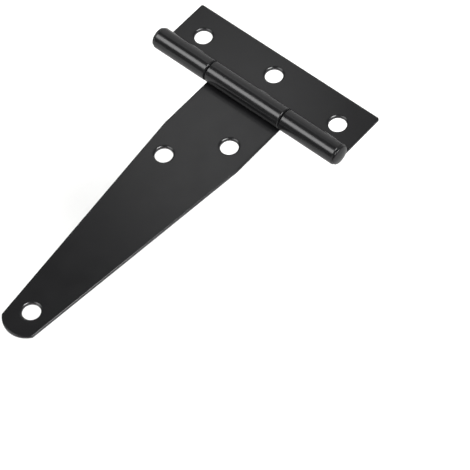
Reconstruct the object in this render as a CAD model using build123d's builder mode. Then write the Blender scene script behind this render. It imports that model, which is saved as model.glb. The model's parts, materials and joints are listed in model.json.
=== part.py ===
from build123d import *

from math import asin, degrees, sqrt
import os

# T hinge: a rolled frame plate and a rolled tapering strap on one headed pin.
#
# X runs along the pin, the frame plate reaches towards +Y, the strap towards
# -Y, and +Z points out of the front faces. The origin is the foot of the pin
# axis on the mounting plane (z = 0), halfway along the pin. Units are mm.
# The hinge is drawn laid out flat, with both back faces on the mounting plane.

# ---- sheet and pin -------------------------------------------------------
sheet = 1.2                 # thickness of both pressed plates
edge_round = 0.3            # outline edges, and the front rims of the holes
pin_radius = 2.55
running_clearance = 0.05    # radial, pin to rolled bore
end_gap = 0.4               # per side, between neighbouring knuckles
seam_gap = 0.15             # free end of a roll above its own plate
head_gap = 0.15             # pin head to the outer knuckle's end

# ---- frame plate ---------------------------------------------------------
frame_length = 76.0         # along the pin
frame_reach = 20.5          # pin axis to the far edge
frame_corner = 0.8
notch_gap = 1.0             # centre knuckle to the bottom of the notch
notch_corner = 1.2
frame_hole_margin = 9.25    # outer hole centres to the ends of the plate
frame_outer_reach = 10.5    # pin axis to the outer holes
frame_middle_reach = 12.7   # pin axis to the middle hole

# ---- strap ---------------------------------------------------------------
strap_width = 31.0          # also the length of the centre knuckle
strap_shoulder = 23.5       # pin axis to the start of the taper
strap_reach = 112.2         # pin axis to the end of the tip
tip_width = 13.2            # where the taper meets the tip arc
tip_radius = 8.2
tip_corner = 1.0
shoulder_round = 6.0
stagger_width = 14.5        # between the staggered holes, along the pin
near_hole_reach = 17.8
far_hole_reach = 33.1
tip_hole_margin = 9.7       # tip hole centre to the end of the tip

# ---- holes and pin heads ---------------------------------------------------
screw_hole_radius = 3.0
head_inset = 0.4            # head's rim inside the knuckles' outer surface
head_rim = 0.5              # straight part of the head
head_dome = 0.75            # height of the domed end above the rim
head_round = 0.4

# ---- derived ---------------------------------------------------------------
bore_radius = pin_radius + running_clearance
knuckle_radius = bore_radius + sheet
head_radius = knuckle_radius - head_inset
notch_width = strap_width + 2 * end_gap
notch_reach = knuckle_radius + notch_gap
roll_end = degrees(asin((bore_radius - seam_gap) / knuckle_radius))
roll_sweep = 270 + roll_end
tip_corner_reach = strap_reach - tip_radius + sqrt(tip_radius**2 - (tip_width / 2) ** 2)
head_start = frame_length / 2 + head_gap
dome_rim = (head_start + head_rim, head_radius)
dome_apex = (head_start + head_rim + head_dome, 0)
dome_radius = (head_radius**2 + head_dome**2) / (2 * head_dome)
pin_axis = Axis((0, 0, knuckle_radius), (1, 0, 0))


def roll_knuckle(sweep):
    """Face of a knuckle's section, from its foot at the origin; the sign of sweep is its side."""
    with BuildLine() as section:
        outer_arc = CenterArc((0, knuckle_radius), knuckle_radius, -90, sweep)
        inner_arc = CenterArc((0, knuckle_radius), bore_radius, -90, sweep)
        Line(outer_arc @ 0, inner_arc @ 0)
        Line(outer_arc @ 1, inner_arc @ 1)
    make_face(section.edges())


def round_outline(plate, side):
    """Round both rims of the flat outline; each fillet runs on around the knuckle's ends."""
    rims = plate.edges().filter_by_position(Axis.Z, 0, sheet) - plate.edges().filter_by(Axis.Z)
    fillet(rims.filter_by(lambda rim: side * rim.center().Y > edge_round), edge_round)


def round_hole_rims(plate):
    """Round the front rims of the holes that were cut last."""
    hole_rims = plate.edges(Select.LAST).filter_by(GeomType.CIRCLE)
    fillet(hole_rims.group_by(Axis.Z)[-1], edge_round)


# ---- frame plate: notched leaf with a knuckle rolled on each tab --------------
with BuildPart() as frame_plate:
    with BuildSketch(Plane.XY) as leaf_outline:
        with BuildLine():
            Polyline(
                (-frame_length / 2, 0),
                (-frame_length / 2, frame_reach),
                (frame_length / 2, frame_reach),
                (frame_length / 2, 0),
                (notch_width / 2, 0),
                (notch_width / 2, notch_reach),
                (-notch_width / 2, notch_reach),
                (-notch_width / 2, 0),
                close=True,
            )
        make_face()
        fillet(leaf_outline.vertices().group_by(Axis.Y)[-1], frame_corner)
        fillet(leaf_outline.vertices().group_by(Axis.Y)[1], notch_corner)
    extrude(amount=sheet)

    # rolled from the back face, over the front side and down to the leaf
    with BuildSketch(Plane.YZ.offset(-frame_length / 2), Plane.YZ.offset(notch_width / 2)):
        roll_knuckle(-roll_sweep)
    extrude(amount=(frame_length - notch_width) / 2)
    round_outline(frame_plate, 1)

    with BuildSketch(Plane.XY):
        with Locations((0, frame_outer_reach)):
            with GridLocations(frame_length - 2 * frame_hole_margin, 0, 2, 1):
                Circle(screw_hole_radius)
        with Locations((0, frame_middle_reach)):
            Circle(screw_hole_radius)
    extrude(amount=sheet, mode=Mode.SUBTRACT)
    round_hole_rims(frame_plate)
frame_plate.part.label = "frame_plate"

# ---- strap: tapering blade with the centre knuckle rolled at its wide end ----
with BuildPart() as strap:
    with BuildSketch(Plane.XY) as blade_outline:
        with BuildLine():
            Polyline(
                (-tip_width / 2, -tip_corner_reach),
                (-strap_width / 2, -strap_shoulder),
                (-strap_width / 2, 0),
                (strap_width / 2, 0),
                (strap_width / 2, -strap_shoulder),
                (tip_width / 2, -tip_corner_reach),
            )
            ThreePointArc(
                (tip_width / 2, -tip_corner_reach),
                (0, -strap_reach),
                (-tip_width / 2, -tip_corner_reach),
            )
        make_face()
        fillet(blade_outline.vertices().group_by(Axis.Y)[0], tip_corner)
        fillet(blade_outline.vertices().group_by(Axis.Y)[-2], shoulder_round)
    extrude(amount=sheet)

    with BuildSketch(Plane.YZ.offset(-strap_width / 2)):
        roll_knuckle(roll_sweep)
    extrude(amount=strap_width)
    round_outline(strap, -1)

    with BuildSketch(Plane.XY):
        with Locations(
            (stagger_width / 2, -near_hole_reach),
            (-stagger_width / 2, -far_hole_reach),
            (0, -(strap_reach - tip_hole_margin)),
        ):
            Circle(screw_hole_radius)
    extrude(amount=sheet, mode=Mode.SUBTRACT)
    round_hole_rims(strap)
strap.part.label = "strap"

# ---- hinge pin: shank with a domed head formed at each end -------------------
with BuildPart() as hinge_pin:
    with BuildSketch(Plane.XZ.shift_origin((0, 0, knuckle_radius))) as half_profile:
        with BuildLine():
            Polyline(
                dome_apex,
                (0, 0),
                (0, pin_radius),
                (head_start, pin_radius),
                (head_start, head_radius),
                dome_rim,
            )
            RadiusArc(dome_rim, dome_apex, dome_radius)
        make_face()
        fillet(half_profile.vertices().sort_by_distance(dome_rim)[0], head_round)
    revolve(axis=pin_axis)
    mirror(about=Plane.YZ)
hinge_pin.part.label = "hinge_pin"

os.makedirs("parts", exist_ok=True)
export_step(frame_plate.part, "parts/frame_plate.step")
export_step(strap.part, "parts/strap.step")
export_step(hinge_pin.part, "parts/hinge_pin.step")
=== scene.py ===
"""T hinge in black electrocoated pressed steel: frame plate, tapering strap and headed pin."""

import json
import math

import bmesh
import bpy
from bpy.props import (
    FloatProperty, FloatVectorProperty, IntProperty, PointerProperty, StringProperty,
)
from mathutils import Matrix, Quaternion, Vector


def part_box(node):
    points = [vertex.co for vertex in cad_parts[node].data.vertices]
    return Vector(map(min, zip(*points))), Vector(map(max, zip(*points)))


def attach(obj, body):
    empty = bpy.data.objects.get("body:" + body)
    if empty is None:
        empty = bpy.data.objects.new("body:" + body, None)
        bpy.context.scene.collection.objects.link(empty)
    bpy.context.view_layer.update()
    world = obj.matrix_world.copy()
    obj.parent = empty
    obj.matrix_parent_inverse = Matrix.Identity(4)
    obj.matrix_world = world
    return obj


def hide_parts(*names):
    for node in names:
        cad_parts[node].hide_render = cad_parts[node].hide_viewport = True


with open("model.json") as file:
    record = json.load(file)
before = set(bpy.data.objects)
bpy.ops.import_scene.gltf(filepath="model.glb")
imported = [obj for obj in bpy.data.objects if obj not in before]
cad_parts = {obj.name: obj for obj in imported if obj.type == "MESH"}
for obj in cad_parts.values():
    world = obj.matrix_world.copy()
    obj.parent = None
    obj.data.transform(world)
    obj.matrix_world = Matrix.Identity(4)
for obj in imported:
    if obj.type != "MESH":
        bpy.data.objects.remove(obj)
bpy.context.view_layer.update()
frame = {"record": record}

bl_info = {
    "name": "T hinge",
    "version": (1, 0, 0),
    "blender": (4, 5, 0),
    "location": "3D view > Sidebar > T hinge",
    "description": "Models a pressed and rolled t hinge round its packed frame",
    "category": "Object",
}

MM = 0.001
PLATE_LOW, PLATE_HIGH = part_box("frame_plate")
STRAP_LOW, STRAP_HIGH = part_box("strap")
PIN_LOW, PIN_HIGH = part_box("hinge_pin")
MOUNTS = {mount["name"]: mount for mount in frame["record"]["mounts"]}

# The pin's axis stands one knuckle radius above the mounting plane, because the knuckles
# are rolled from the back face.
AXIS_HEIGHT = (PIN_LOW.z + PIN_HIGH.z) / 2
UP = Vector((0, 0, 1))
NEAR = 0.02 * MM            # two places closer than this are the same place
WELD = 0.001 * MM           # corners closer than this are merged while a shape is drawn
FINE_WELD = 0.0001 * MM     # the same for a finished shape, which has finer detail
CREASE = math.radians(40)   # an edge that turns by more than this is sharp
LEVEL = 0.999               # cosine for a face that lies along the sheet
ROUND_SIDES = 96            # sides of a punch or a rod
RIM_STEPS = 5               # steps across a rounded rim
CORNER_STEPS = 6            # steps round a corner of the frame plate
NOTCH_STEPS = 8             # steps round an inner corner of the notch
BEND_STEPS = 4              # steps round the slight bends in the strap's sides
TIP_STEPS = 36              # steps round the strap's tip
ROLL_STEP = 3               # degrees of a rolled knuckle to one step


# ---- sizes and colours ---------------------------------------------------------------


class SheetSizes(bpy.types.PropertyGroup):
    sheet: FloatProperty(
        name="Sheet thickness",
        description="Thickness of the strip that both plates are pressed from",
        default=1.2 * MM, unit="LENGTH", precision=5,
    )
    edge_round: FloatProperty(
        name="Outline rounding",
        description="Radius of the tumbled outline edges and of the knuckles' ends",
        default=0.42 * MM, unit="LENGTH", precision=5,
    )
    roll_width: FloatProperty(
        name="Hole draw width",
        description="Width of the sloping ring that the punch draws down round each screw hole",
        default=0.5 * MM, unit="LENGTH", precision=5,
    )
    roll_depth: FloatProperty(
        name="Hole draw depth",
        description="Depth of the sloping ring round each screw hole",
        default=0.29 * MM, unit="LENGTH", precision=5,
    )
    lip_round: FloatProperty(
        name="Hole lip rounding",
        description="Radius between the sloping ring, the front face and the wall of each hole",
        default=0.2 * MM, unit="LENGTH", precision=5,
    )
    burr_round: FloatProperty(
        name="Hole back rounding",
        description="Radius left where the punch breaks out through the back face",
        default=0.04 * MM, unit="LENGTH", precision=5,
    )
    seam: FloatProperty(
        name="Roll seam",
        description="Gap between the free end of a rolled knuckle and its own plate",
        default=0.15 * MM, unit="LENGTH", precision=5,
    )
    end_gap: FloatProperty(
        name="Knuckle end gap",
        description="Gap between neighbouring knuckles along the pin",
        default=0.4 * MM, unit="LENGTH", precision=5,
    )
    notch_gap: FloatProperty(
        name="Notch gap",
        description="Gap between the centre knuckle and the bottom of the frame plate's notch",
        default=1.0 * MM, unit="LENGTH", precision=5,
    )
    notch_corner: FloatProperty(
        name="Notch corner radius",
        description="Radius in the two inner corners of the notch",
        default=1.2 * MM, unit="LENGTH", precision=5,
    )
    plate_corner: FloatProperty(
        name="Plate corner radius",
        description="Radius of the frame plate's two far corners",
        default=0.8 * MM, unit="LENGTH", precision=5,
    )
    shoulder_reach: FloatProperty(
        name="Shoulder reach",
        description="Distance from the pin axis to the start of the strap's taper",
        default=23.5 * MM, unit="LENGTH", precision=5,
    )
    tip_width: FloatProperty(
        name="Tip width",
        description="Width of the strap where the taper meets the round tip",
        default=13.2 * MM, unit="LENGTH", precision=5,
    )
    tip_radius: FloatProperty(
        name="Tip radius",
        description="Radius of the strap's rounded tip",
        default=8.2 * MM, unit="LENGTH", precision=5,
    )
    tip_corner: FloatProperty(
        name="Tip corner radius",
        description="Radius where the taper meets the round tip",
        default=1.0 * MM, unit="LENGTH", precision=5,
    )
    shoulder_round: FloatProperty(
        name="Shoulder radius",
        description="Radius of the slight bend in each side of the strap",
        default=6.0 * MM, unit="LENGTH", precision=5,
    )
    stagger: FloatProperty(
        name="Stagger",
        description="Distance along the pin between the strap's two staggered screw holes",
        default=14.5 * MM, unit="LENGTH", precision=5,
    )


class PinSizes(bpy.types.PropertyGroup):
    pin_radius: FloatProperty(
        name="Pin radius",
        description="Radius of the rod through the knuckles",
        default=2.55 * MM, unit="LENGTH", precision=5,
    )
    head_start: FloatProperty(
        name="Head start",
        description="Distance from the middle of the pin to the back of each head",
        default=PLATE_HIGH.x + 0.15 * MM, unit="LENGTH", precision=5,
    )
    head_rim: FloatProperty(
        name="Head rim",
        description="Length of the straight part of each head",
        default=0.5 * MM, unit="LENGTH", precision=5,
    )
    head_round: FloatProperty(
        name="Head rounding",
        description="Radius between the head's rim and its dome",
        default=0.4 * MM, unit="LENGTH", precision=5,
    )
    dome_rings: IntProperty(
        name="Dome rings",
        description="Number of rings that shape each domed head",
        default=9, min=3,
    )


class CoatLook(bpy.types.PropertyGroup):
    coat: StringProperty(
        name="Coat colour",
        description="sRGB hex colour of the cured black coat",
        default="#0F0F10",
    )
    # Lighter coat colour along the rounded rims: a painted highlight along the edges, where the
    # coat also draws thin; bath-flow patches lean towards it too.
    thin_coat_and_rim_sheen: StringProperty(
        name="Thin coat colour",
        description="sRGB hex colour where the coat draws thin over a rounded rim",
        default="#1A1A1B",
    )
    roughness: FloatProperty(
        name="Coat roughness",
        description="Roughness of the cured coat",
        default=0.2, min=0.0, max=1.0, subtype="FACTOR",
    )


class StudioSetup(bpy.types.PropertyGroup):
    floor_colour: StringProperty(
        name="Floor colour",
        description="sRGB hex colour of the plain floor",
        default="#F4F4F3",
    )
    floor_drop: FloatProperty(
        name="Floor drop",
        description="Depth of the floor under the hinge, which leaves the strap room to hang",
        default=120 * MM, unit="LENGTH",
    )
    # Grey of the card that only reflections show: painted shade, darker than the floor, standing
    # for the shaded table under the hinge.
    shade_card_colour: StringProperty(
        name="Contact card colour",
        description="sRGB hex colour of the card that only reflections show",
        default="#C0C0C0",
    )
    card_drop: FloatProperty(
        name="Contact card drop",
        description="Depth of the contact card under the mounting plane",
        default=0.3 * MM, unit="LENGTH", precision=5,
    )
    azimuth: FloatProperty(
        name="Camera azimuth",
        description="0 looks along +Y and 90 along -X",
        default=math.radians(46.86), subtype="ANGLE",
    )
    elevation: FloatProperty(
        name="Camera elevation",
        description="Angle of the camera above the horizon",
        default=math.radians(56.39), subtype="ANGLE",
    )
    roll: FloatProperty(
        name="Camera roll",
        description="Turn of the camera about its own line of sight",
        default=math.radians(-7.06), subtype="ANGLE",
    )
    distance: FloatProperty(
        name="Camera distance",
        description="Distance from the camera to the point that it looks at",
        default=784.4 * MM, unit="LENGTH",
    )
    aim: FloatVectorProperty(
        name="Camera aim",
        description="Point on the mounting plane that the camera looks at",
        default=(30.36 * MM, -41.7 * MM, 0.0), subtype="TRANSLATION",
    )
    lens: FloatProperty(
        name="Lens",
        description="Focal length in mm",
        default=192.3, unit="CAMERA",
    )


# ---- helpers for modelling -------------------------------------------------------------


def deselect():
    """Leave edit mode and let go of everything, so that the next operator acts on one piece."""
    if bpy.context.mode != "OBJECT":
        bpy.ops.object.mode_set(mode="OBJECT")
    bpy.ops.object.select_all(action="DESELECT")


def work_on(piece):
    """Select one piece alone and make it active."""
    deselect()
    piece.select_set(True)
    bpy.context.view_layer.objects.active = piece


def settle(piece, name):
    """Name a new primitive and put its place, turn and scale into its mesh."""
    work_on(piece)
    piece.name = name
    piece.data.name = name
    bpy.ops.object.transform_apply(location=True, rotation=True, scale=True)


def edit(piece):
    """Open one piece in edit mode with all of it selected."""
    work_on(piece)
    bpy.ops.object.mode_set(mode="EDIT")
    bpy.ops.mesh.select_all(action="SELECT")


def middle(part):
    """Middle of an edge or a face."""
    return sum((vert.co for vert in part.verts), Vector()) / len(part.verts)


def pick(piece, kind, test):
    """In edit mode, select the vertices, edges or faces that pass the test, and no others."""
    bpy.ops.mesh.select_mode(type=kind)
    bpy.ops.mesh.select_all(action="DESELECT")
    shape = bmesh.from_edit_mesh(piece.data)
    parts = {"VERT": shape.verts, "EDGE": shape.edges, "FACE": shape.faces}[kind]
    parts.ensure_lookup_table()
    chosen = [part for part in parts if test(part)]
    if not chosen:
        raise RuntimeError(f"{piece.name}: no {kind.lower()} passes the test")
    for part in chosen:
        part.select_set(True)
    shape.select_flush_mode()
    bmesh.update_edit_mesh(piece.data)


def apply_modifier(piece, kind, **settings):
    """Add one modifier to the piece with its settings and apply it."""
    work_on(piece)
    modifier = piece.modifiers.new(kind.lower(), kind)
    for setting, value in settings.items():
        setattr(modifier, setting, value)
    bpy.ops.object.modifier_apply(modifier=modifier.name)


def is_upright(edge):
    """An edge that stands on the mounting plane."""
    one, other = (vert.co for vert in edge.verts)
    return (one - other).xy.length < NEAR and abs(one.z - other.z) > NEAR


# ---- rolled sheet ----------------------------------------------------------------------


def lay_sheet(name, low, high):
    """Add a flat face on the mounting plane between two corners."""
    deselect()
    centre = ((low[0] + high[0]) / 2, (low[1] + high[1]) / 2, 0)
    bpy.ops.mesh.primitive_plane_add(size=1, location=centre)
    piece = bpy.context.object
    bpy.ops.transform.resize(value=(high[0] - low[0], high[1] - low[1], 1))
    settle(piece, name)
    return piece


def roll_knuckle(piece, sizes, side):
    """Spin the selected edges round the pin, from the back face over to the front of the plate."""
    bore_radius = AXIS_HEIGHT - sizes.sheet
    drop = math.asin((bore_radius - sizes.seam) / AXIS_HEIGHT)
    sweep = 1.5 * math.pi + drop
    bpy.ops.mesh.spin(
        steps=round(math.degrees(sweep) / ROLL_STEP),
        angle=side * sweep,
        center=(0, 0, AXIS_HEIGHT),
        axis=(1, 0, 0),
    )


def thicken(piece, sizes):
    """Give the back face its sheet thickness, towards the front and the inside of the roll."""
    edit(piece)
    bpy.ops.mesh.remove_doubles(threshold=WELD)
    bpy.ops.mesh.normals_make_consistent(inside=False)
    shape = bmesh.from_edit_mesh(piece.data)
    flat = max(shape.faces, key=lambda face: face.calc_area())
    if flat.normal.z > 0:
        bpy.ops.mesh.flip_normals()
    apply_modifier(
        piece, "SOLIDIFY", thickness=sizes.sheet, offset=-1, use_even_offset=True, use_rim=True
    )
    edit(piece)
    bpy.ops.mesh.normals_make_consistent(inside=False)
    deselect()


def punch_holes(piece, sizes, places, radius):
    """Punch round screw holes, each on a line scribed across the sheet, with a drawn-down rim."""
    for x, y in places:
        edit(piece)
        bpy.ops.mesh.bisect(plane_co=(x, y, 0), plane_no=(0, 1, 0))
    shoulder = sizes.sheet - sizes.roll_depth
    spread = (radius + 2 * sizes.roll_width) / radius
    for x, y in places:
        deselect()
        bpy.ops.mesh.primitive_cylinder_add(
            vertices=ROUND_SIDES, radius=radius, depth=sizes.sheet + shoulder,
            location=(x, y, (shoulder - sizes.sheet) / 2),
        )
        punch = bpy.context.object
        settle(punch, "punch")
        edit(punch)
        pick(punch, "FACE", lambda face: face.normal.z > LEVEL)
        bpy.ops.mesh.extrude_region_move(
            TRANSFORM_OT_translate={"value": (0, 0, 2 * sizes.roll_depth)}
        )
        bpy.ops.transform.resize(
            value=(spread, spread, 1), center_override=(x, y, sizes.sheet + sizes.roll_depth)
        )
        apply_modifier(piece, "BOOLEAN", operation="DIFFERENCE", solver="EXACT", object=punch)
        bpy.data.objects.remove(punch)


def round_upright(piece, places, radius, segments, turn=math.pi / 2):
    """Round the upright edges at these places; turn is how much the outline turns there."""
    edit(piece)
    pick(
        piece,
        "EDGE",
        lambda edge: is_upright(edge)
        and any((middle(edge).xy - Vector(place)).length < NEAR for place in places),
    )
    bpy.ops.mesh.bevel(offset=radius * math.tan(turn / 2), segments=segments, affect="EDGES")
    deselect()


def round_rims(piece, sizes, places, radius):
    """Round every sharp edge: drawn lips at the holes, tumbled edges everywhere else."""
    widest = sizes.edge_round

    def ring(edge, reach):
        return any(
            all(abs((vert.co.xy - Vector(place)).length - reach) < NEAR for vert in edge.verts)
            for place in places
        )

    def flat_at(edge, height):
        return all(abs(vert.co.z - height) < NEAR for vert in edge.verts)

    def is_lip(edge):
        return (
            flat_at(edge, sizes.sheet) and ring(edge, radius + sizes.roll_width)
            or flat_at(edge, sizes.sheet - sizes.roll_depth) and ring(edge, radius)
        )

    def is_burr(edge):
        return flat_at(edge, 0) and ring(edge, radius)

    def is_sharp(edge):
        sharp = edge.is_manifold and edge.calc_face_angle() > CREASE
        return sharp and not is_lip(edge) and not is_burr(edge)

    edit(piece)
    for rounding, test in (
        (sizes.edge_round, is_sharp), (sizes.lip_round, is_lip), (sizes.burr_round, is_burr)
    ):
        pick(piece, "EDGE", test)
        bpy.ops.transform.edge_bevelweight(value=rounding / widest)
    apply_modifier(
        piece, "BEVEL", limit_method="WEIGHT", width=widest, segments=RIM_STEPS,
        use_clamp_overlap=False, miter_outer="MITER_ARC", face_strength_mode="FSTR_ALL",
    )


def mark_cut_edges(piece):
    """Store how far the surface leans away from the sheet's own face: 0 flat, 1 cut wall.

    The sheet's own face is level on the plate, and faces away from the pin on the knuckle. On
    the plate's side of the pin, the knuckle is all that stands higher than the sheet is thick.
    """
    marks = piece.data.attributes.new("cut_edge", "FLOAT", "POINT")
    shape = bmesh.new()
    shape.from_mesh(piece.data)
    plate_side = sum(corner[1] for corner in piece.bound_box)
    over_sheet = 1.3 * MM
    values = []
    for vert in shape.verts:
        out = Vector((0, vert.co.y, vert.co.z - AXIS_HEIGHT))
        rolled = abs(vert.co.y) < AXIS_HEIGHT and out.length < AXIS_HEIGHT + NEAR
        off_plate = vert.co.z > over_sheet or vert.co.y * plate_side < 0
        flat = out.normalized() if rolled and off_plate else UP
        on_flat = any(abs(face.normal.dot(flat)) > LEVEL for face in vert.link_faces)
        values.append(0.0 if on_flat else 1 - abs(vert.normal.dot(flat)))
    shape.free()
    marks.data.foreach_set("value", values)


def finish_piece(piece, body, node, material):
    """Smooth the piece, give it its finish and let it stand for its CAD node."""
    edit(piece)
    bpy.ops.mesh.remove_doubles(threshold=FINE_WELD)
    bpy.ops.mesh.normals_make_consistent(inside=False)
    work_on(piece)
    bpy.ops.object.shade_smooth()
    apply_modifier(
        piece, "WEIGHTED_NORMAL", mode="FACE_AREA", weight=50, keep_sharp=False,
        use_face_influence=True,
    )
    piece.data.materials.clear()
    piece.data.materials.append(material)
    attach(piece, body)
    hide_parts(node)


# ---- finish ----------------------------------------------------------------------------


def linear(hex_colour):
    """Linear RGBA of an sRGB hex colour."""
    shares = [int(hex_colour[i:i + 2], 16) / 255 for i in (1, 3, 5)]
    return (*[s / 12.92 if s <= 0.04045 else ((s + 0.055) / 1.055) ** 2.4 for s in shares], 1)


def add_node(tree, kind, settings=None, inputs=None):
    """Add a node with its settings; an input is a value, or a socket to link."""
    node = tree.nodes.new(kind)
    for setting, value in (settings or {}).items():
        setattr(node, setting, value)
    for socket, value in (inputs or {}).items():
        if isinstance(value, bpy.types.NodeSocket):
            tree.links.new(value, node.inputs[socket])
        else:
            node.inputs[socket].default_value = value
    return node


def empty_tree(owner):
    """Give a material or a world a node tree with nothing in it."""
    owner.use_nodes = True
    owner.node_tree.nodes.clear()
    return owner.node_tree


def coated_steel(name, look):
    """Black electrocoat on pressed steel.

    The steel is dipped, plated with black epoxy and baked. It levels to a smooth satin
    gloss: near-black colour, a soft clear mirror image, and a faint orange peel about a
    millimetre across. It draws thin over rounded rims, which are painted a shade lighter:
    a painted highlight along the edges. It lets the shear marks show through on the cut walls.
    """
    material = bpy.data.materials.get(name)
    if material:
        return material
    material = bpy.data.materials.new(name)
    tree = empty_tree(material)
    place = add_node(tree, "ShaderNodeTexCoord").outputs["Object"]
    cut_edge = add_node(tree, "ShaderNodeAttribute", {"attribute_name": "cut_edge"}).outputs["Fac"]

    # Bath flow leaves patches of slightly thicker coat, about 7 mm across.
    flow = add_node(
        tree, "ShaderNodeTexNoise", inputs={
            "Vector": place, "Scale": 1 / (7 * MM), "Detail": 2.0, "Roughness": 0.45,
        },
    ).outputs["Fac"]
    # Orange peel, about 1.1 mm from crest to crest.
    peel = add_node(
        tree, "ShaderNodeTexNoise", inputs={
            "Vector": place, "Scale": 1 / (1.1 * MM), "Detail": 1.0, "Roughness": 0.4,
        },
    ).outputs["Fac"]
    # Pigment grain is a few microns, too fine to show, so it is drawn at 0.3 mm.
    grain = add_node(
        tree, "ShaderNodeTexNoise", inputs={
            "Vector": place, "Scale": 1 / (0.3 * MM), "Detail": 2.0, "Roughness": 0.6,
        },
    ).outputs["Fac"]
    # Shear marks run through the sheet, about 0.2 mm apart.
    across = add_node(
        tree, "ShaderNodeMapping", inputs={"Vector": place, "Scale": (1.0, 1.0, 0.08)}
    ).outputs["Vector"]
    shear = add_node(
        tree, "ShaderNodeTexNoise", inputs={
            "Vector": across, "Scale": 1 / (0.2 * MM), "Detail": 2.0, "Roughness": 0.7,
        },
    ).outputs["Fac"]

    # Mask of the rounded rims, which the coat colour lightens: a painted highlight along the edges,
    # over the thin coat there.
    rim = add_node(
        tree, "ShaderNodeMapRange", {"interpolation_type": "SMOOTHSTEP"},
        {"Value": cut_edge, "From Min": 0.02, "From Max": 0.35, "To Min": 0.0, "To Max": 1.0},
    ).outputs["Result"]
    wall = add_node(
        tree, "ShaderNodeMapRange", {"interpolation_type": "SMOOTHSTEP"},
        {"Value": cut_edge, "From Min": 0.7, "From Max": 0.98, "To Min": 0.0, "To Max": 1.0},
    ).outputs["Result"]

    # Rims are painted a shade lighter here, as a painted highlight along the rounded edges; the
    # bath-flow patches add a random tone.
    thinness_and_rim_sheen = add_node(
        tree, "ShaderNodeMath", {"operation": "MULTIPLY_ADD", "use_clamp": True},
        {0: flow, 1: 0.35, 2: rim},
    ).outputs["Value"]
    colour = add_node(
        tree, "ShaderNodeMix", {"data_type": "RGBA"},
        {"Factor": thinness_and_rim_sheen, 6: linear(look.coat), 7: linear(look.thin_coat_and_rim_sheen)},
    ).outputs[2]
    flow_rough = add_node(
        tree, "ShaderNodeMapRange", {}, {
            "Value": flow, "From Min": 0.25, "From Max": 0.75,
            "To Min": look.roughness - 0.02, "To Max": look.roughness + 0.02,
        },
    ).outputs["Result"]
    grain_rough = add_node(
        tree, "ShaderNodeMath", {"operation": "MULTIPLY_ADD"}, {0: grain, 1: 0.03, 2: flow_rough}
    ).outputs["Value"]
    roughness = add_node(
        tree, "ShaderNodeMath", {"operation": "MULTIPLY_ADD"}, {0: wall, 1: 0.1, 2: grain_rough}
    ).outputs["Value"]

    peel_bump = add_node(
        tree, "ShaderNodeBump", inputs={"Strength": 0.5, "Distance": 0.002 * MM, "Height": peel}
    ).outputs["Normal"]
    shear_height = add_node(
        tree, "ShaderNodeMath", {"operation": "MULTIPLY"}, {0: shear, 1: wall}
    ).outputs["Value"]
    bump = add_node(
        tree, "ShaderNodeBump", inputs={
            "Strength": 0.6, "Distance": 0.03 * MM, "Height": shear_height, "Normal": peel_bump,
        },
    ).outputs["Normal"]
    shader = add_node(
        tree, "ShaderNodeBsdfPrincipled", inputs={
            "Base Color": colour, "Roughness": roughness, "Normal": bump, "IOR": 1.5,
        },
    ).outputs["BSDF"]
    add_node(tree, "ShaderNodeOutputMaterial", inputs={"Surface": shader})
    return material


# ---- operators -------------------------------------------------------------------------


class OBJECT_OT_hinge_leaf(bpy.types.Operator):
    """Model the notched frame plate with a knuckle rolled on each tab"""
    bl_idname = "object.hinge_leaf"
    bl_label = "Frame plate"

    def execute(self, context):
        sizes = context.scene.hinge_sheet
        half = PLATE_HIGH.x
        notch_half = STRAP_HIGH.x + sizes.end_gap
        notch_reach = AXIS_HEIGHT + sizes.notch_gap
        outer = MOUNTS["frame_outer_screws"]
        centre = MOUNTS["frame_middle_screw"]
        radius = outer["dims"]["hole_r_mm"] * MM
        spread = outer["dims"]["spacing_x_mm"] * MM / 2
        holes = [
            (-spread, outer["pos_m"][1]),
            (spread, outer["pos_m"][1]),
            (centre["pos_m"][0], centre["pos_m"][1]),
        ]
        piece = lay_sheet("notched_frame_plate", (-half, notch_reach), (half, PLATE_HIGH.y))
        for x in (-notch_half, notch_half):
            edit(piece)
            bpy.ops.mesh.bisect(plane_co=(x, 0, 0), plane_no=(1, 0, 0))
        pick(
            piece,
            "EDGE",
            lambda edge: abs(middle(edge).y - notch_reach) < NEAR
            and abs(middle(edge).x) > notch_half,
        )
        bpy.ops.mesh.extrude_region_move(TRANSFORM_OT_translate={"value": (0, -notch_reach, 0)})
        roll_knuckle(piece, sizes, 1)
        thicken(piece, sizes)
        punch_holes(piece, sizes, holes, radius)
        far_corners = [(-half, PLATE_HIGH.y), (half, PLATE_HIGH.y)]
        notch_corners = [(-notch_half, notch_reach), (notch_half, notch_reach)]
        round_upright(piece, far_corners, sizes.plate_corner, CORNER_STEPS)
        round_upright(piece, notch_corners, sizes.notch_corner, NOTCH_STEPS)
        round_rims(piece, sizes, holes, radius)
        mark_cut_edges(piece)
        coat = coated_steel("black_electrocoat_on_pressed_steel", context.scene.hinge_coat)
        finish_piece(piece, "frame", "frame_plate", coat)
        return {"FINISHED"}


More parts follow.
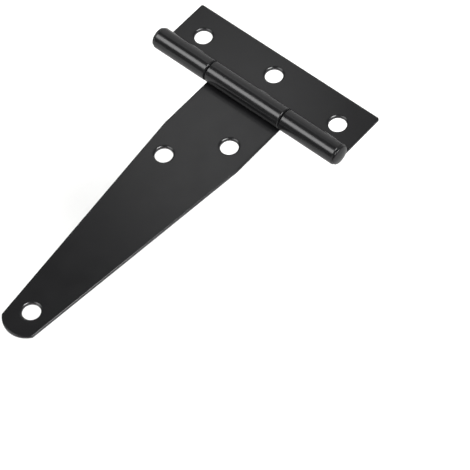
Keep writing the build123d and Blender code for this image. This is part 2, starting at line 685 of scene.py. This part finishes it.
class OBJECT_OT_hinge_strap(bpy.types.Operator):
    """Model the tapering strap with the centre knuckle rolled at its wide end"""
    bl_idname = "object.hinge_strap"
    bl_label = "Strap"

    def execute(self, context):
        sizes = context.scene.hinge_sheet
        half = STRAP_HIGH.x
        tip_half = sizes.tip_width / 2
        tip_centre = STRAP_LOW.y + sizes.tip_radius
        arc_half = math.asin(tip_half / sizes.tip_radius)
        arc_start = tip_centre - sizes.tip_radius * math.cos(arc_half)
        staggered = MOUNTS["strap_stagger_screws"]
        tip = MOUNTS["strap_tip_screw"]
        radius = staggered["dims"]["hole_r_mm"] * MM
        across = sizes.stagger / 2
        along = math.sqrt((staggered["dims"]["pcd_mm"] * MM / 2) ** 2 - across**2)
        holes = [
            (across, staggered["pos_m"][1] + along),
            (-across, staggered["pos_m"][1] - along),
            (tip["pos_m"][0], tip["pos_m"][1]),
        ]
        piece = lay_sheet("tapered_strap", (-half, -sizes.shoulder_reach), (half, 0))
        edit(piece)
        pick(piece, "EDGE", lambda edge: abs(middle(edge).y + sizes.shoulder_reach) < NEAR)
        bpy.ops.mesh.extrude_region_move(
            TRANSFORM_OT_translate={"value": (0, arc_start + sizes.shoulder_reach, 0)}
        )
        bpy.ops.transform.resize(value=(tip_half / half, 1, 1), center_override=(0, arc_start, 0))
        pick(
            piece,
            "VERT",
            lambda vert: (vert.co - Vector((tip_half, arc_start, 0))).length < NEAR,
        )
        bpy.ops.mesh.spin(
            steps=TIP_STEPS, angle=2 * arc_half, center=(0, tip_centre, 0), axis=(0, 0, 1)
        )
        bpy.ops.mesh.select_all(action="SELECT")
        bpy.ops.mesh.remove_doubles(threshold=WELD)
        pick(
            piece,
            "EDGE",
            lambda edge: all(vert.co.y < arc_start + NEAR for vert in edge.verts),
        )
        bpy.ops.mesh.edge_face_add()
        # The blade is left as one face: a line across it would fold over at a rounded corner.
        pick(piece, "EDGE", lambda edge: edge.is_manifold)
        bpy.ops.mesh.dissolve_edges(use_verts=False)
        pick(piece, "EDGE", lambda edge: abs(middle(edge).y) < NEAR and middle(edge).z < NEAR)
        roll_knuckle(piece, sizes, -1)
        thicken(piece, sizes)
        punch_holes(piece, sizes, holes, radius)
        taper = math.atan2(half - tip_half, -arc_start - sizes.shoulder_reach)
        shoulders = [(-half, -sizes.shoulder_reach), (half, -sizes.shoulder_reach)]
        round_upright(piece, shoulders, sizes.shoulder_round, BEND_STEPS, taper)
        tip_corners = [(-tip_half, arc_start), (tip_half, arc_start)]
        round_upright(
            piece, tip_corners, sizes.tip_corner, BEND_STEPS, math.pi / 2 - arc_half - taper
        )
        round_rims(piece, sizes, holes, radius)
        mark_cut_edges(piece)
        coat = coated_steel("black_electrocoat_on_pressed_steel", context.scene.hinge_coat)
        finish_piece(piece, "strap", "strap", coat)
        return {"FINISHED"}


class OBJECT_OT_hinge_pin(bpy.types.Operator):
    """Model the pin with a low domed head formed at each end"""
    bl_idname = "object.hinge_pin"
    bl_label = "Headed pin"

    def execute(self, context):
        sizes = context.scene.hinge_pin
        head_radius = (PIN_HIGH.z - PIN_LOW.z) / 2
        rim_end = sizes.head_start + sizes.head_rim
        dome_height = PIN_HIGH.x - rim_end
        dome_radius = (head_radius**2 + dome_height**2) / (2 * dome_height)
        dome_angle = math.asin(head_radius / dome_radius)
        flat_centre = 0.02      # share of the dome that stays flat, so that its middle is closed
        wider = head_radius / sizes.pin_radius
        deselect()
        bpy.ops.mesh.primitive_cylinder_add(
            vertices=ROUND_SIDES, radius=sizes.pin_radius, depth=2 * sizes.head_start,
            location=(0, 0, AXIS_HEIGHT), rotation=(0, math.pi / 2, 0),
        )
        piece = bpy.context.object
        settle(piece, "headed_pin")
        edit(piece)
        for side in (-1, 1):
            pick(piece, "FACE", lambda face: middle(face).x * side > sizes.head_start - NEAR)
            bpy.ops.mesh.extrude_region_move(TRANSFORM_OT_translate={"value": (0, 0, 0)})
            bpy.ops.transform.resize(
                value=(1, wider, wider), center_override=(0, 0, AXIS_HEIGHT)
            )
            bpy.ops.mesh.extrude_region_move(
                TRANSFORM_OT_translate={"value": (side * sizes.head_rim, 0, 0)}
            )
            for ring in range(sizes.dome_rings):
                angle = dome_angle * (1 - ring / sizes.dome_rings)
                inner = dome_angle * (1 - (ring + 1) / sizes.dome_rings)
                inner = max(inner, dome_angle * flat_centre)
                rise = dome_radius * (math.cos(inner) - math.cos(angle))
                narrower = math.sin(inner) / math.sin(angle)
                bpy.ops.mesh.extrude_region_move(
                    TRANSFORM_OT_translate={"value": (side * rise, 0, 0)}
                )
                bpy.ops.transform.resize(
                    value=(1, narrower, narrower), center_override=(0, 0, AXIS_HEIGHT)
                )
        bpy.ops.mesh.select_all(action="SELECT")
        bpy.ops.mesh.remove_doubles(threshold=FINE_WELD)

        def on_rim(edge):
            reach = [math.hypot(vert.co.y, vert.co.z - AXIS_HEIGHT) for vert in edge.verts]
            level = abs(edge.verts[0].co.x - edge.verts[1].co.x) < NEAR
            return level and all(abs(r - head_radius) < NEAR for r in reach)

        pick(piece, "EDGE", lambda edge: on_rim(edge) and abs(abs(middle(edge).x) - rim_end) < NEAR)
        bpy.ops.transform.edge_bevelweight(value=1)
        pick(
            piece, "EDGE",
            lambda edge: on_rim(edge) and abs(abs(middle(edge).x) - sizes.head_start) < NEAR,
        )
        bpy.ops.transform.edge_bevelweight(value=0.3)
        apply_modifier(
            piece, "BEVEL", limit_method="WEIGHT", width=sizes.head_round, segments=RIM_STEPS,
            use_clamp_overlap=False, offset_type="WIDTH", face_strength_mode="FSTR_ALL",
        )
        piece.data.attributes.new("cut_edge", "FLOAT", "POINT")
        coat = coated_steel("black_electrocoat_on_headed_pin", context.scene.hinge_coat)
        finish_piece(piece, "frame", "hinge_pin", coat)
        return {"FINISHED"}


def hang_light(name, kind, azimuth, elevation, distance):
    """Hang one light that faces the hinge; azimuth is in degrees from +X."""
    across = math.radians(azimuth)
    up = math.radians(elevation)
    towards = Vector((
        math.cos(up) * math.cos(across), math.cos(up) * math.sin(across), math.sin(up)
    ))
    deselect()
    bpy.ops.object.light_add(type=kind, location=towards * distance)
    light = bpy.context.object
    light.name = name
    light.rotation_mode = "QUATERNION"
    light.rotation_quaternion = towards.to_track_quat("Z", "Y")
    return light


def shine_sun(name, azimuth, elevation, softness, strength):
    """Add an even, soft fill from one side, which reflections don't show."""
    sun = hang_light(name, "SUN", azimuth, elevation, 1)
    sun.data.angle = math.radians(softness)
    sun.data.energy = strength
    sun.visible_glossy = False


def hang_softbox(name, azimuth, elevation, distance, width, height, radiance):
    """Hang one soft rectangular light; its sizes are in metres."""
    box = hang_light(name, "AREA", azimuth, elevation, distance)
    box.data.shape = "RECTANGLE"
    box.data.size = width
    box.data.size_y = height
    box.data.energy = 4 * width * height * radiance


def card_stock(name, colour):
    """Matt studio card, with a fine fibre that only takes the sheen off."""
    stock = bpy.data.materials.new(name)
    tree = empty_tree(stock)
    place = add_node(tree, "ShaderNodeTexCoord").outputs["Object"]
    fibre = add_node(
        tree, "ShaderNodeTexNoise",
        inputs={"Vector": place, "Scale": 1 / (2 * MM), "Detail": 2.0},
    ).outputs["Fac"]
    bump = add_node(
        tree, "ShaderNodeBump", inputs={"Strength": 0.1, "Distance": 0.05 * MM, "Height": fibre}
    ).outputs["Normal"]
    shader = add_node(
        tree, "ShaderNodeBsdfPrincipled",
        inputs={"Base Color": linear(colour), "Roughness": 0.9, "Normal": bump},
    ).outputs["BSDF"]
    add_node(tree, "ShaderNodeOutputMaterial", inputs={"Surface": shader})
    return stock


def lay_card(name, size, drop, stock):
    """Lay one square card level under the hinge."""
    deselect()
    bpy.ops.mesh.primitive_plane_add(size=size, location=(0, 0, -drop))
    card = bpy.context.object
    settle(card, name)
    card.data.materials.append(stock)
    return card


class OBJECT_OT_hinge_studio(bpy.types.Operator):
    """Lay the floor, hang the soft lights and set up the camera"""
    bl_idname = "object.hinge_studio"
    bl_label = "Studio"

    def execute(self, context):
        studio = context.scene.hinge_studio
        white = card_stock("matt_white_card", studio.floor_colour)
        grey = card_stock("matt_grey_shade_card", studio.shade_card_colour)
        lay_card("studio_floor", 8, studio.floor_drop, white)
        # A grey card lies right under the hinge, and only reflections show it. The knuckles and the
        # walls of the holes then mirror a near surface, as on a table. Its grey, darker than the
        # floor, is painted shade in those reflections, standing for the shaded table under the
        # hinge; the hinge's own shadows on it are rendered.
        card = lay_card("contact_card", 1.2, studio.card_drop, grey)
        card.visible_camera = False
        card.visible_diffuse = False
        card.visible_shadow = False

        shine_sun("even_fill", azimuth=-25, elevation=62, softness=40, strength=0.6)
        for name, azimuth, elevation, distance, width, height, radiance in (
            ("left_softbox", -128, 48.5, 2.4, 1.6, 1.05, 4.6),
            ("right_softbox", 0, 58, 2.4, 1.2, 0.9, 16.0),
            ("back_panel", 119, 25, 2.4, 2.2, 2.1, 0.5),
            ("hot_spot", 139, 55.3, 0.6, 0.12, 0.11, 0.95),
        ):
            hang_softbox(name, azimuth, elevation, distance, width, height, radiance)

        world = bpy.data.worlds.new("pale_room")
        context.scene.world = world
        tree = empty_tree(world)
        # The room is dim to the hinge and pale to the camera.
        seen = add_node(tree, "ShaderNodeLightPath").outputs["Is Camera Ray"]
        dim = add_node(
            tree, "ShaderNodeBackground",
            inputs={"Color": linear("#FFFFFF"), "Strength": 0.17},
        ).outputs["Background"]
        pale = add_node(
            tree, "ShaderNodeBackground",
            inputs={"Color": linear("#FAFAFA"), "Strength": 1.0},
        ).outputs["Background"]
        room = add_node(
            tree, "ShaderNodeMixShader", inputs={0: seen, 1: dim, 2: pale}
        ).outputs["Shader"]
        add_node(tree, "ShaderNodeOutputWorld", inputs={"Surface": room})

        back = Vector((
            math.sin(studio.azimuth) * math.cos(studio.elevation),
            -math.cos(studio.azimuth) * math.cos(studio.elevation),
            math.sin(studio.elevation),
        ))
        deselect()
        bpy.ops.object.camera_add(location=Vector(studio.aim) + back * studio.distance)
        camera = bpy.context.object
        camera.name = "camera"
        camera.rotation_mode = "QUATERNION"
        turned = Quaternion((0, 0, 1), studio.roll)
        camera.rotation_quaternion = (-back).to_track_quat("-Z", "Y") @ turned
        camera.data.lens = studio.lens
        camera.data.sensor_width = 36
        camera.data.clip_start = 0.01
        camera.data.clip_end = 20
        bpy.context.scene.camera = camera
        context.scene.view_settings.view_transform = "Standard"
        return {"FINISHED"}


class VIEW3D_PT_hinge(bpy.types.Panel):
    """Lists the steps that build the hinge"""
    bl_idname = "VIEW3D_PT_hinge"
    bl_label = "T hinge"
    bl_space_type = "VIEW_3D"
    bl_region_type = "UI"
    bl_category = "T hinge"

    def draw(self, context):
        for operator in (
            OBJECT_OT_hinge_studio, OBJECT_OT_hinge_leaf, OBJECT_OT_hinge_strap, OBJECT_OT_hinge_pin
        ):
            self.layout.operator(operator.bl_idname)
        for group in ("hinge_sheet", "hinge_pin", "hinge_coat", "hinge_studio"):
            box = self.layout.box()
            settings = getattr(context.scene, group)
            for name in settings.__annotations__:
                box.prop(settings, name)


CLASSES = (
    SheetSizes, PinSizes, CoatLook, StudioSetup,
    OBJECT_OT_hinge_leaf, OBJECT_OT_hinge_strap, OBJECT_OT_hinge_pin, OBJECT_OT_hinge_studio,
    VIEW3D_PT_hinge,
)
GROUPS = {
    "hinge_sheet": SheetSizes, "hinge_pin": PinSizes,
    "hinge_coat": CoatLook, "hinge_studio": StudioSetup,
}


def register():
    """Register the classes and hang their settings on the scene."""
    for cls in CLASSES:
        bpy.utils.register_class(cls)
    for name, group in GROUPS.items():
        setattr(bpy.types.Scene, name, PointerProperty(type=group))


def unregister():
    """Take the settings and the classes away again."""
    for name in GROUPS:
        delattr(bpy.types.Scene, name)
    for cls in reversed(CLASSES):
        bpy.utils.unregister_class(cls)


def main():
    """Build the studio and every piece."""
    register()
    bpy.ops.object.hinge_studio()
    bpy.ops.object.hinge_leaf()
    bpy.ops.object.hinge_strap()
    bpy.ops.object.hinge_pin()


if __name__ == "__main__":
    main()
